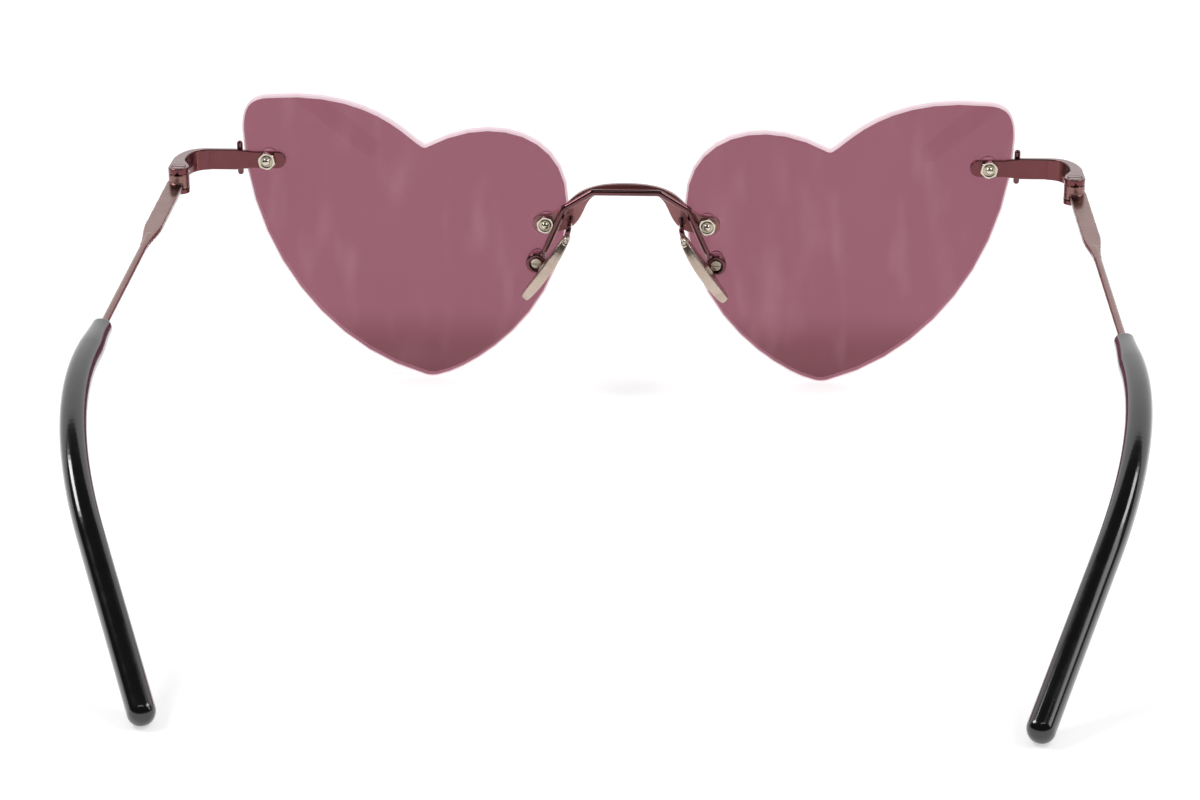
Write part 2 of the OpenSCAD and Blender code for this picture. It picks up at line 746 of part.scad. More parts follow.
// Pad frame: its middle is the pad's back, X runs down the pad and Z away from the nose
module in_pad()
    translate([pad_u, -pad_back, pad_z]) rotate([0, 90 - pad_lean, 0])
        rotate([-pad_flare, 0, 0]) children();

// Pivot of the pad, in the working frame
pivot_u = pad_u - pivot_up * sin(pad_lean) - pivot_in * cos(pad_lean);
pivot_z = pad_z + pivot_up * cos(pad_lean) - pivot_in * sin(pad_lean);

// Pad's outline in its own plane
function pad_outline() = [
    for (i = [0 : oval_steps - 1])
        let (w = 360 * i / oval_steps)
            [
                pad_len / 2 * sign(cos(w)) * pow(abs(cos(w)), 2 / pad_power),
                pad_w / 2 * sign(sin(w)) * pow(abs(sin(w)), 2 / pad_power),
            ]
];

// Nose pad: a metal blade, crowned towards the nose, with a slot in its top end for
// the eye of the pad arm and a hole across it for the pad screw
module nose_pad() {
    side = placed(
        concat(curves(pad_side_shares), [last_point(pad_side_shares)]), [0, 0],
        [pad_len / 2, pad_t]
    );
    slot_t = eye_t + 2 * eye_gap;
    slot_deep_in = pad_len / 2 - pivot_up + eye_r + eye_gap;
    difference() {
        in_pad() intersection() {
            translate([0, 0, -pad_t - cut]) linear_extrude(pad_t + 2 * cut)
                polygon(pad_outline());
            translate([0, pad_w, 0]) rotate([90, 0, 0]) linear_extrude(2 * pad_w)
                polygon(side);
        }
        translate([pad_u, -pad_back - slot_t / 2, pad_z]) rotate([0, 90 - pad_lean, 0])
            translate([-pad_len / 2 - cut, 0, -pad_t - cut])
                cube([slot_deep_in + cut, slot_t, pad_t + 2 * cut]);
        rod_back_from(
            [pivot_u, pivot_z], pad_w / 2 - pad_back + cut, pad_pin_r + screw_gap,
            pad_w + 2 * cut
        );
    }
}

// Pad arm: soldered to the strap, it runs straight back, turns down and ends in an eye
module pad_arm() {
    foot = on_strap(arm_foot_share);
    start = [foot[0], arm_top_y, foot[1]];
    goal = [pivot_u, -pad_back, pivot_z];
    path = [
        for (p = concat(curves(pad_arm_shares), [last_point(pad_arm_shares)]))
            [for (k = [0 : 2]) start[k] + p[k] * (goal[k] - start[k])]
    ];
    difference() {
        union() {
            bent_wire(path, pad_arm_r, [1, 0, 0]);
            rod_back_from(foot, -washer_t - strap_t, arm_foot_r, pad_arm_r);
            rod_back_from([pivot_u, pivot_z], eye_t / 2 - pad_back, eye_r, eye_t);
        }
        rod_back_from(
            [pivot_u, pivot_z], eye_t / 2 - pad_back + cut, pad_pin_r + screw_gap,
            eye_t + 2 * cut
        );
    }
}

// Headless slotted screw on which a pad rocks
module pad_screw() {
    back_y = -pad_back - pad_pin_len / 2;
    difference() {
        rod_back_from([pivot_u, pivot_z], back_y + pad_pin_len, pad_pin_r, pad_pin_len);
        translate([pivot_u - pad_pin_r - cut, back_y - cut, pivot_z - slot_w / 4])
            cube([2 * (pad_pin_r + cut), slot_deep / 2 + cut, slot_w / 2]);
    }
}

// Pieces in their colours
module left_lens() color("#9b6473", 0.85) on_left() lens();
module right_lens() color("#9b6473", 0.85) on_right() lens();
module bridge_strap_piece() color("#7a4147") in_frame() bridge_strap();
module bridge_wire_piece() color("#6d343c") in_frame() bridge_wire();
module left_pad_arm() color("#6d343c") on_left() pad_arm();
module right_pad_arm() color("#6d343c") on_right() pad_arm();
module left_nose_pad() color("#b5a99b") on_left() nose_pad();
module right_nose_pad() color("#b5a99b") on_right() nose_pad();
module left_pad_screw() color("#cfc8b8") on_left() pad_screw();
module right_pad_screw() color("#cfc8b8") on_right() pad_screw();
module left_end_piece() color("#7a4147") on_left() end_piece();
module right_end_piece() color("#7a4147") on_right() end_piece();
module left_edge_post() color("#6d343c") on_left() edge_post();
module right_edge_post() color("#6d343c") on_right() edge_post();
module left_hinge_screw() color("#a58784") on_left() hinge_screw();
module right_hinge_screw() color("#a58784") on_right() hinge_screw();
module left_temple() color("#a58784") on_left() temple();
module right_temple() color("#a58784") on_right() temple();
module left_temple_tip() color("#1b191a") on_left() temple_tip();
module right_temple_tip() color("#1b191a") on_right() temple_tip();
module lens_screws() color("#cfc8b8") on_both() {
    lens_screw([outer_u, arm_z], arm_t);
    lens_screw([upper_u, upper_z], strap_t);
}
module cap_nuts() color("#cfc8b8") on_both() {
    cap_nut([outer_u, arm_z], arm_t);
    cap_nut([upper_u, upper_z], strap_t);
}
module lens_bushings() color("#e6dfd8", 0.6) on_both() for (p = holes) bushing(p);
module lens_washers() color("#e6dfd8", 0.6) on_both() for (p = holes) {
    washer(p, lens_t + washer_t);
    washer(p, 0);
}
module eyelet_screws() color("#cfc8b8") on_both() eyelet_screw([lower_u, lower_z]);
module eyelet_nuts() color("#7a4147") on_both() eyelet_nut([lower_u, lower_z]);

left_lens();
right_lens();
bridge_strap_piece();  // bridge_strap
bridge_wire_piece();  // bridge_wire
left_pad_arm();
right_pad_arm();
left_nose_pad();
right_nose_pad();
left_pad_screw();
right_pad_screw();
left_end_piece();
right_end_piece();
left_edge_post();
right_edge_post();
left_hinge_screw();
right_hinge_screw();
left_temple();
right_temple();
left_temple_tip();
right_temple_tip();
lens_screws();
cap_nuts();
lens_bushings();
lens_washers();
eyelet_screws();
eyelet_nuts();
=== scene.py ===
# %% [markdown]
# Heart-shaped rimless sunglasses, seen from behind as they stand on a table. The
# construction is loaded as a fixed frame: every lens, screw, hinge and pad is already
# a solid of the right size in the right place. This script gives each of them its real
# finish, adds what is too fine for the construction, and lights and frames the whole.

# %% Frame and the object's own size
import json
import math

import bmesh
import bpy
from mathutils import Matrix, Vector


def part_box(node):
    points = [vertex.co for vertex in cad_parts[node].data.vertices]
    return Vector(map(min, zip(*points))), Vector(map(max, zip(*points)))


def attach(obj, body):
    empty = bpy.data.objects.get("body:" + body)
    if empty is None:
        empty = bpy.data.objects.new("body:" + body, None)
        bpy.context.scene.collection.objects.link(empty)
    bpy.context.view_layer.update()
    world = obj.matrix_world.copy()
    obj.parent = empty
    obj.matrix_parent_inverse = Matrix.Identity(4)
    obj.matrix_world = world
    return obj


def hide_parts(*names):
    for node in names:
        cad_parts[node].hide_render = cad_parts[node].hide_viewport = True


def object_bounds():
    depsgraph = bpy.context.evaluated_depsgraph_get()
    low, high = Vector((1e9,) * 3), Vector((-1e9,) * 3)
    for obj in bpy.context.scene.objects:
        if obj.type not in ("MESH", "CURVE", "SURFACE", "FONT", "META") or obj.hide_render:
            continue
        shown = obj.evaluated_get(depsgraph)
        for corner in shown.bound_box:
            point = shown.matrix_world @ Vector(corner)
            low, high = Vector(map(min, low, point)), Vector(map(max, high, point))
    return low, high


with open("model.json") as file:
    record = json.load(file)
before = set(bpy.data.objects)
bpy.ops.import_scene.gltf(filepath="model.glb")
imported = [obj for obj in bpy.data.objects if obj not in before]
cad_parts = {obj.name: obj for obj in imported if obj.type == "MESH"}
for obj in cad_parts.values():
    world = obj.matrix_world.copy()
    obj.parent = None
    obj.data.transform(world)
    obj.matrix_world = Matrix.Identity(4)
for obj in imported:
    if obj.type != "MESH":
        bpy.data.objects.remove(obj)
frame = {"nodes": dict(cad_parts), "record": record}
nodes = frame["nodes"]
MM = 0.001
cad_low, cad_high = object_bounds()
print("frame:", len(nodes), "pieces,", [round(s / MM, 1) for s in cad_high - cad_low], "mm")

# %% [markdown]
# Colours are written as they look on a screen, in sRGB. Shaders work in linear light,
# so one function turns a hex value into linear red, green and blue.
#
# A node tree is a list of nodes that feed each other. One helper adds a node, sets its
# settings, and fills each input with a value or with a link from another node.

# %% Colour and node helpers


def linear(hex_colour):
    parts = [int(hex_colour[i:i + 2], 16) / 255 for i in (1, 3, 5)]
    return [*(p / 12.92 if p <= 0.04045 else ((p + 0.055) / 1.055) ** 2.4 for p in parts), 1]


def add(tree, kind, inputs=None, **settings):
    made = tree.nodes.new(kind)
    for name, value in settings.items():
        setattr(made, name, value)
    for name, value in (inputs or {}).items():
        if isinstance(value, bpy.types.NodeSocket):
            tree.links.new(value, made.inputs[name])
        else:
            made.inputs[name].default_value = value
    return made


def new_material(name):
    made = bpy.data.materials.new(name)
    made.use_nodes = True
    made.node_tree.nodes.clear()
    return made, made.node_tree


print("a mid grey is", [round(c, 3) for c in linear("#808080")][:3], "in linear light")

# %% [markdown]
# Every finish needs the same raw materials: a place to read patterns from, a mottled
# value between two limits, a surface normal and a colour that drifts between two close
# tones. The place is the piece's own coordinates in millimetres. The normal comes from
# the Bevel node, which rounds each sharp edge in the light, as tumbling and polishing
# round the real one, and a Bump node then lays fine unevenness over it. A Mix node has
# inputs for numbers, vectors and colours side by side, so the ones for colours are
# known by their places in the row.

# %% Place, mottle, rounded normal and tint
BEVEL_SAMPLES = 8
NOISE_LOW, NOISE_HIGH = 0.3, 0.7
SHARE, COLOUR, OTHER_COLOUR, MIXED_COLOUR = 0, 6, 7, 2


def place_in_mm(tree, stretch=(1, 1, 1)):
    coords = add(tree, "ShaderNodeTexCoord")
    return add(tree, "ShaderNodeMapping",
               {"Vector": coords.outputs["Object"], "Scale": [s / MM for s in stretch]}).outputs[0]


def mottle(tree, place, size_mm, low, high, detail=3):
    noise = add(tree, "ShaderNodeTexNoise",
                {"Vector": place, "Scale": 1 / size_mm, "Detail": detail})
    return add(tree, "ShaderNodeMapRange", {
        "Value": noise.outputs[0], "From Min": NOISE_LOW, "From Max": NOISE_HIGH,
        "To Min": low, "To Max": high,
    }).outputs[0]


def rounded_normal(tree, edge_mm, height=None, depth_mm=0):
    bevel = add(tree, "ShaderNodeBevel", {"Radius": edge_mm * MM}, samples=BEVEL_SAMPLES)
    if height is None:
        return bevel.outputs[0]
    return add(tree, "ShaderNodeBump", {
        "Height": height, "Distance": depth_mm * MM, "Strength": 1, "Normal": bevel.outputs[0],
    }).outputs[0]


def tinted(tree, place, size_mm, colour, other):
    share = mottle(tree, place, size_mm, 0, 1)
    return add(tree, "ShaderNodeMix", {
        SHARE: share, COLOUR: linear(colour), OTHER_COLOUR: linear(other),
    }, data_type="RGBA").outputs[MIXED_COLOUR]


print("a sharp edge is rounded in the light from", BEVEL_SAMPLES, "samples")

# %% [markdown]
# The lacquered metal is nickel silver, and spring steel in the temples, plated and then
# dipped in a clear burgundy lacquer. It is metal seen through coloured varnish, so it is
# a metal whose base colour is the lacquer's, with a smooth clear coat on top. The
# plating's roughness gives soft highlights and the coat gives small sharp ones. The same
# recipe makes the dark wine of the wires, a copy of the burgundy on the bridge strap that
# is painted lighter, as painted light for the brightness that the strap's tilted faces pick
# up, and the pale rose of the temples. The plating's grain is really finer than a pixel,
# so it is drawn as coarse as it needs to show.

# %% Lacquered metal
LACQUER_DRIFT_MM, PLATING_PATCH_MM, PLATING_GRAIN_MM, PLATING_DEPTH_MM = 5, 1.5, 0.6, 0.003
PLATING_SMOOTHER, PLATING_ROUGHER = 0.04, 0.05


def lacquered_metal(name, colour, other, roughness, coat, edge_mm=0.16):
    made, tree = new_material(name)
    place = place_in_mm(tree)
    grain = mottle(tree, place, PLATING_GRAIN_MM, 0, 1, detail=4)
    shader = add(tree, "ShaderNodeBsdfPrincipled", {
        "Base Color": tinted(tree, place, LACQUER_DRIFT_MM, colour, other),
        "Metallic": 1,
        "Roughness": mottle(tree, place, PLATING_PATCH_MM,
                            roughness - PLATING_SMOOTHER, roughness + PLATING_ROUGHER),
        "Coat Weight": coat,
        "Coat Roughness": 0.06,
        "Coat IOR": 1.5,
        "Normal": rounded_normal(tree, edge_mm, grain, PLATING_DEPTH_MM),
    })
    add(tree, "ShaderNodeOutputMaterial", {"Surface": shader.outputs[0]})
    return made


burgundy = lacquered_metal("Burgundy_lacquer_on_plated_end_piece", "#6c3236", "#642c30", 0.2, 0.7)
wine = lacquered_metal("Wine_lacquer_on_plated_wire", "#642f34", "#562529", 0.1, 1.0,
                       edge_mm=0.1)
# A copy of the burgundy lacquer painted lighter for the strap: painted light for what its tilted
# faces reflect.
burgundy_painted_lighter = lacquered_metal("Burgundy_lacquer_painted_lighter_on_strap",
                           "#8c5656", "#824d4d", 0.38, 1.0)
rose = lacquered_metal("Rose_lacquer_on_plated_steel", "#8d6761", "#845e58", 0.28, 0.6)
print("lacquers:", burgundy.name, wine.name, burgundy_painted_lighter.name, rose.name)

# %% [markdown]
# Screws and cap nuts are bright nickel, tumbled until their edges shine. The pads are a
# softer satin champagne metal, warmed by handling. Both are bare metal: a base colour
# for the metal's own tint, full metallic, and a roughness that says how it was finished.
# Tumbling leaves dents that are finer than these, which are drawn coarser to show.

# %% Bare metal
TARNISH_DRIFT_MM, TUMBLING_PATCH_MM, TUMBLING_DEPTH_MM = 3, 0.8, 0.002
TUMBLING_SMOOTHER, TUMBLING_ROUGHER = 0.05, 0.06


def bare_metal(name, colour, other, roughness, edge_mm, grain_mm):
    made, tree = new_material(name)
    place = place_in_mm(tree)
    grain = mottle(tree, place, grain_mm, 0, 1)
    shader = add(tree, "ShaderNodeBsdfPrincipled", {
        "Base Color": tinted(tree, place, TARNISH_DRIFT_MM, colour, other),
        "Metallic": 1,
        "Roughness": mottle(tree, place, TUMBLING_PATCH_MM,
                            roughness - TUMBLING_SMOOTHER, roughness + TUMBLING_ROUGHER),
        "Normal": rounded_normal(tree, edge_mm, grain, TUMBLING_DEPTH_MM),
    })
    add(tree, "ShaderNodeOutputMaterial", {"Surface": shader.outputs[0]})
    return made


nickel = bare_metal("Tumbled_bright_nickel", "#dcd5c7", "#cfc8b8", 0.16, 0.1, 0.4)
champagne = bare_metal("Satin_champagne_pad_metal", "#c6b6a9", "#b8a799", 0.28, 0.2, 0.25)
print("bare metals:", nickel.name, champagne.name)

# %% [markdown]
# The temple tips are black cellulose acetate, turned, bent warm and polished on a wheel.
# Acetate is a dense plastic with a deep gloss, so it is nearly black with a smooth
# surface, a very slight waviness from hand polishing and a faint bloom of fine scuffs
# that the roughness carries. The coat is the wax that the last wheel leaves.

# %% Acetate tips
ACETATE_DRIFT_MM, SCUFF_MM, BUFFING_WAVE_MM, BUFFING_DEPTH_MM = 6, 2.5, 7, 0.02


def polished_acetate():
    made, tree = new_material("Polished_black_acetate")
    place = place_in_mm(tree)
    wave = mottle(tree, place, BUFFING_WAVE_MM, 0, 1, detail=1)
    shader = add(tree, "ShaderNodeBsdfPrincipled", {
        "Base Color": tinted(tree, place, ACETATE_DRIFT_MM, "#060606", "#090807"),
        "IOR": 1.48,
        "Coat Weight": 0.9,
        "Coat Roughness": 0.1,
        "Roughness": mottle(tree, place, SCUFF_MM, 0.12, 0.2, detail=5),
        "Normal": rounded_normal(tree, 0.15, wave, BUFFING_DEPTH_MM),
    })
    add(tree, "ShaderNodeOutputMaterial", {"Surface": shader.outputs[0]})
    return made


acetate = polished_acetate()
print("tips:", acetate.name)

# %% [markdown]
# Each lens is a flat plate of dyed plastic, cut to a heart and edged on a stone. Its two
# faces are polished and its rim is ground, so the rim is paler and scatters light. The
# shader is a tinted glass on the faces and a matt, barely clear plastic on the rim,
# picked by whether the surface looks forward or sideways.
#
# The dye is even over the lens. Over the last centimetre above the point the colour is
# painted darker, as painted shade for the lens's own tinted shadow on the table seen
# through it. Smears from wiping and a few specks of dust lighten it a little.
#
# Light that enters the faces runs inside the plate and comes out at the ground rim,
# which is why the rim is a pale line also where it is in shade. Tracing that light would
# need many bounces, so the rim gets a weak glow instead. The plastic's own IOR of 1.5
# would mirror the temples in the lens. A film against reflections takes most of that
# away, as a lower IOR does here. Light from the lamps would stop at glass, so rays that
# carry shadow pass it as a plain tint.

# %% Lens
# Heights in mm over which the lens is painted darker towards the point: painted shade for its
# tinted shadow on the table, seen through it.
PAINTED_SHADE_MM = (5, 13)
DYE_DRIFT_MM, DUST_PER_MM, SPECK_RADII, SPECK_SHARE = 30, 0.35, (0.03, 0.05), 0.5
SMEAR_MM, SMEAR_STRETCH, SMEAR_SHARES = 4.5, (1, 1, 0.3), (-0.22, 0.13)
COATED_IOR, PLASTIC_IOR = 1.22, 1.5
FACE_FROM = 0.9


# The lens colour: dye, painted shade towards the point, smears and dust specks.
def lens_dye_and_painted_shade(tree):
    place = place_in_mm(tree)
    height = add(tree, "ShaderNodeSeparateXYZ", {0: place}).outputs["Z"]
    # Share of painted shade: full below the lower height, none above the higher one.
    painted_shade = add(tree, "ShaderNodeMapRange", {
        "Value": height, "From Min": PAINTED_SHADE_MM[0], "From Max": PAINTED_SHADE_MM[1],
        "To Min": 1, "To Max": 0,
    }, interpolation_type="SMOOTHSTEP").outputs[0]
    dye = tinted(tree, place, DYE_DRIFT_MM, "#915c6a", "#8d5867")
    # The dark colour mixed in here is painted shade, not dye.
    dyed_and_shaded = add(tree, "ShaderNodeMix", {
        SHARE: painted_shade, COLOUR: dye, OTHER_COLOUR: linear("#7b4b54"),
    }, data_type="RGBA").outputs[MIXED_COLOUR]
    smears = mottle(tree, place_in_mm(tree, SMEAR_STRETCH), SMEAR_MM, *SMEAR_SHARES, detail=1.5)
    smeared = add(tree, "ShaderNodeMix", {
        SHARE: smears, COLOUR: dyed_and_shaded, OTHER_COLOUR: linear("#c397a3"),
    }, data_type="RGBA").outputs[MIXED_COLOUR]
    dust = add(tree, "ShaderNodeTexVoronoi", {"Vector": place, "Scale": DUST_PER_MM})
    speck = add(tree, "ShaderNodeMapRange", {
        "Value": dust.outputs["Distance"], "From Min": SPECK_RADII[0], "From Max": SPECK_RADII[1],
        "To Min": SPECK_SHARE, "To Max": 0,
    }).outputs[0]
    return add(tree, "ShaderNodeMix", {
        SHARE: speck, COLOUR: smeared, OTHER_COLOUR: linear("#d3b0ba"),
    }, data_type="RGBA").outputs[MIXED_COLOUR]


def dyed_lens():
    made, tree = new_material("Dyed_polished_lens_plastic")
    face = add(tree, "ShaderNodeBsdfPrincipled", {
        "Base Color": lens_dye_and_painted_shade(tree),
        "Transmission Weight": 1,
        "IOR": COATED_IOR,
        "Roughness": 0.0,
    })
    rim = add(tree, "ShaderNodeBsdfPrincipled", {
        "Base Color": linear("#c9b3bb"),
        "Transmission Weight": 0.1,
        "Emission Color": linear("#ffe2ea"),
        "Emission Strength": 0.36,
        "IOR": PLASTIC_IOR,
        "Roughness": 0.4,
    })
    normal = add(tree, "ShaderNodeNewGeometry").outputs["Normal"]
    forward = add(tree, "ShaderNodeSeparateXYZ", {0: normal}).outputs["Y"]
    facing = add(tree, "ShaderNodeMath", {0: forward}, operation="ABSOLUTE").outputs[0]
    on_face = add(tree, "ShaderNodeMath", {0: facing, 1: FACE_FROM},
                  operation="GREATER_THAN").outputs[0]
    body = add(tree, "ShaderNodeMixShader", {0: on_face, 1: rim.outputs[0], 2: face.outputs[0]})
    shade = add(tree, "ShaderNodeBsdfTransparent", {"Color": linear("#dcc3cb")})
    shadow = add(tree, "ShaderNodeLightPath").outputs["Is Shadow Ray"]
    lit_or_shading = add(tree, "ShaderNodeMixShader",
                         {0: shadow, 1: body.outputs[0], 2: shade.outputs[0]})
    add(tree, "ShaderNodeOutputMaterial", {"Surface": lit_or_shading.outputs[0]})
    return made


lens_plastic = dyed_lens()
print("lens:", lens_plastic.name)

# %% [markdown]
# Washers and bushings are moulded in clear nylon, which is a little milky: light goes
# through them, but not straight, so they show as soft pale rings round the screws.

# %% Nylon
MILKINESS_MM = 0.8


def clear_nylon():
    made, tree = new_material("Clear_moulded_nylon")
    shader = add(tree, "ShaderNodeBsdfPrincipled", {
        "Base Color": tinted(tree, place_in_mm(tree), MILKINESS_MM, "#f1e8e4", "#e6dcd6"),
        "Transmission Weight": 0.7,
        "IOR": 1.53,
        "Roughness": 0.3,
        "Normal": rounded_normal(tree, 0.05),
    })
    add(tree, "ShaderNodeOutputMaterial", {"Surface": shader.outputs[0]})
    return made


nylon = clear_nylon()
print("rings:", nylon.name)

# %% [markdown]
# The construction says of each solid what it is made of, by the name of a slot. One
# table gives each slot its finish, and every solid gets the finish of its slot.

# %% Finishes on the construction
FINISHES = {
    "lens_tint": lens_plastic, "strap_lacquer": burgundy, "wire_lacquer": wine,
    "temple_plate": rose, "pad_metal": champagne, "nickel": nickel,
    "clear_plastic": nylon, "tip_acetate": acetate,
}
for sub in frame["record"]["subparts"]:
    mesh = nodes[sub["node"]].data
    mesh.materials.clear()
    mesh.materials.append(FINISHES[sub["material_slot"]])

# %% [markdown]
# Some pieces are remade finer than the construction has them. Each new piece is a mesh
# whose place is in its own points, as the construction's pieces are. It gets a finish,
# rides on the body that carries it, and hides the solid that it stands for.

# %% New pieces


def as_piece(name, mesh, slot, body, stands_for, smooth_degrees=40, finish=None):
    mesh.name = name
    mesh.materials.clear()
    mesh.materials.append(finish or FINISHES[slot])
    made = bpy.data.objects.new(name, mesh)
    bpy.context.scene.collection.objects.link(made)
    mesh.shade_smooth()
    mesh.set_sharp_from_angle(angle=math.radians(smooth_degrees))
    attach(made, body)
    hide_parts(stands_for)
    return made


def volume_mm3(mesh):
    shape = bmesh.new()
    shape.from_mesh(mesh)
    volume = shape.calc_volume(signed=True) / MM ** 3
    shape.free()
    return round(volume, 2)


print("a lens of the construction has", volume_mm3(nodes["left_lens"].data), "mm3")

# %% [markdown]
# A rimless lens is cut on an edging stone, and then both edges of its rim get a narrow
# safety chamfer, so that they don't chip or scratch. The chamfer is what draws the pale
# line round the lens, also where the rim itself is turned away. It could be painted on
# with a shader, but a real facet also catches light from every side. So a copy of the
# solid has its loose triangles merged and its flat faces cleaned, and its sharp edges
# are cut back. The strap, the end pieces and the round front nuts are tumbled, which
# rounds their edges, and the same function rounds them in three narrow facets. The
# fork of the hinge is filed by hand and keeps its edges.

# %% Cutting edges back
SHARP_DEGREES, FLAT_DEGREES, WELD_MM = 50, 0.05, 0.002


def anywhere(place):
    return True


def cut_back(node, width_mm, facets, wanted=anywhere):
    shape = bmesh.new()
    shape.from_mesh(nodes[node].data)
    bmesh.ops.remove_doubles(shape, verts=shape.verts, dist=WELD_MM * MM)
    bmesh.ops.dissolve_limit(shape, angle_limit=math.radians(FLAT_DEGREES),
                             verts=shape.verts, edges=shape.edges)
    sharp = [e for e in shape.edges if e.calc_face_angle() > math.radians(SHARP_DEGREES)
             and all(wanted(v.co / MM) for v in e.verts)]
    bmesh.ops.bevel(shape, geom=sharp, offset=width_mm * MM, segments=facets, profile=0.5,
                    affect="EDGES")
    made = bpy.data.meshes.new(node)
    shape.to_mesh(made)
    shape.free()
    return made


print("edges over", SHARP_DEGREES, "degrees count as sharp")

# %% [markdown]
# The facet on a lens is wide enough to see. The facets on the sheet metal only catch a
# thin light, and a Weighted Normal modifier keeps the flat faces between them flat in
# the light.

# %% Chamfered lenses and eased edges
SIDES = {"left": -1, "right": 1}
CHAMFER_MM, EASE_MM, NUT_EASE_MM, EASE_FACETS = 0.3, 0.2, 0.1, 3
FORK_FROM_X, FORK_TOP_Z = 70, 38.2


def clear_of_fork(place):
    return abs(place.x) < FORK_FROM_X or place.z > FORK_TOP_Z


for side in SIDES:
    mesh = cut_back(side + "_lens", CHAMFER_MM, facets=1)
    as_piece(side + "_chamfered_lens", mesh, "lens_tint", "front", side + "_lens",
             smooth_degrees=20)
    print(side, "lens:", len(mesh.polygons), "faces,", volume_mm3(mesh), "mm3")
# The strap takes the copy of the burgundy lacquer that is painted lighter.
for node, width_mm, wanted, finish in (("bridge_strap", EASE_MM, anywhere, burgundy_painted_lighter),
                                       ("eyelet_nuts", NUT_EASE_MM, anywhere, burgundy),
                                       ("left_end_piece", EASE_MM, clear_of_fork, burgundy),
                                       ("right_end_piece", EASE_MM, clear_of_fork, burgundy)):
    mesh = cut_back(node, width_mm, EASE_FACETS, wanted)
    eased = as_piece(node + "_eased", mesh, "strap_lacquer", "front", node,
                     smooth_degrees=25, finish=finish)
    eased.modifiers.new("flat_faces", "WEIGHTED_NORMAL").keep_sharp = True
    print(node, len(mesh.polygons), "faces,", volume_mm3(mesh), "mm3")

# %% [markdown]
# Nose pads are stamped, then tumbled with grit until no edge is left that could cut the
# skin, and the temples go through the same barrel. An edge bevel gets lost in their many
# small cuts, so these are made the way that a casting is: the solid is filled with a fine
# even grid, a skin is drawn over it, and a few passes of smoothing wear the skin down.
# The work is done in millimetres, as the grids are given, and turned back into metres
# at the end.

# %% Tumbled pads and temples


def tumbled(node, grid_mm, passes):
    in_mm = nodes[node].data.copy()
    in_mm.transform(Matrix.Scale(1 / MM, 4))
    holder = bpy.data.objects.new("casting", in_mm)
    bpy.context.scene.collection.objects.link(holder)
    grid = holder.modifiers.new("grid", "REMESH")
    grid.mode, grid.voxel_size, grid.adaptivity = "VOXEL", grid_mm, 0
    evaluated = holder.evaluated_get(bpy.context.evaluated_depsgraph_get())
    skin = bpy.data.meshes.new_from_object(evaluated)
    bpy.data.objects.remove(holder)
    shape = bmesh.new()
    shape.from_mesh(skin)
    for _ in range(passes):
        bmesh.ops.smooth_vert(shape, verts=shape.verts, factor=0.5,
                              use_axis_x=True, use_axis_y=True, use_axis_z=True)
    bmesh.ops.scale(shape, vec=(MM, MM, MM), verts=shape.verts)
    made = bpy.data.meshes.new(node)
    shape.to_mesh(made)
    shape.free()
    return made


IN_THE_BARREL = (("nose_pad", "pad_metal", "pad_body", 0.1, 9),
                 ("temple", "temple_plate", "temple_arm", 0.12, 4))
for side in SIDES:
    for what, slot, body, grid_mm, passes in IN_THE_BARREL:
        node = side + "_" + what
        mesh = tumbled(node, grid_mm, passes)
        as_piece(node + "_tumbled", mesh, slot, side + "_" + body, node, smooth_degrees=180)
        print(node, len(mesh.polygons), "faces,", volume_mm3(mesh), "mm3")

# %% [markdown]
# Two kinds of piece are a path and a rule, so Geometry Nodes make them: the bent bridge
# wire and the temple tips. Each tree takes a chain of points and named sizes. It ends
# by sealing the swept skin and giving it its finish. What all trees share comes first:
# the list of inputs, that ending, and a function that feeds a tree and keeps the mesh.

# %% What all trees share
SEAL_MM = 0.001


def socket_of(tree, name):
    return next(item.identifier for item in tree.interface.items_tree
                if item.item_type == "SOCKET" and item.in_out == "INPUT" and item.name == name)


def new_tree(name, sizes):
    tree = bpy.data.node_groups.new(name, "GeometryNodeTree")
    tree.interface.new_socket("Geometry", in_out="INPUT", socket_type="NodeSocketGeometry")
    for size in sizes:
        tree.interface.new_socket(size, in_out="INPUT", socket_type="NodeSocketFloat")
    tree.interface.new_socket("Sides", in_out="INPUT", socket_type="NodeSocketInt")
    tree.interface.new_socket("Material", in_out="INPUT", socket_type="NodeSocketMaterial")
    tree.interface.new_socket("Geometry", in_out="OUTPUT", socket_type="NodeSocketGeometry")
    return tree, add(tree, "NodeGroupInput").outputs


def finish_tree(tree, given, swept):
    sealed = add(tree, "GeometryNodeMergeByDistance",
                 {"Geometry": swept, "Distance": SEAL_MM * MM})
    real = add(tree, "GeometryNodeRealizeInstances", {0: sealed.outputs[0]})
    done = add(tree, "GeometryNodeSetMaterial",
               {0: real.outputs[0], "Material": given["Material"]})
    add(tree, "NodeGroupOutput", {0: done.outputs[0]})
    return tree


def grown(tree, points_mm, **sizes):
    chain = bpy.data.meshes.new("chain")
    chain.from_pydata([[c * MM for c in p] for p in points_mm],
                      [(i, i + 1) for i in range(len(points_mm) - 1)], [])
    holder = bpy.data.objects.new("chain", chain)
    bpy.context.scene.collection.objects.link(holder)
    nodes_modifier = holder.modifiers.new("tree", "NODES")
    nodes_modifier.node_group = tree
    for name, value in sizes.items():
        nodes_modifier[socket_of(tree, name.replace("_", " "))] = value
    evaluated = holder.evaluated_get(bpy.context.evaluated_depsgraph_get())
    made = bpy.data.meshes.new_from_object(evaluated)
    bpy.data.objects.remove(holder)
    return made


print("a swept skin is sealed within", SEAL_MM, "mm")

# %% [markdown]
# The bridge wire is a round wire, bent over pins: straight runs with a tight bend between
# them. At its ends it swells a little, where the solder has crept up it. So the tree
# rounds the chain's corners, makes it a fine even chain, sets the radius along it and
# sweeps a circle over it.

# %% Wire tree


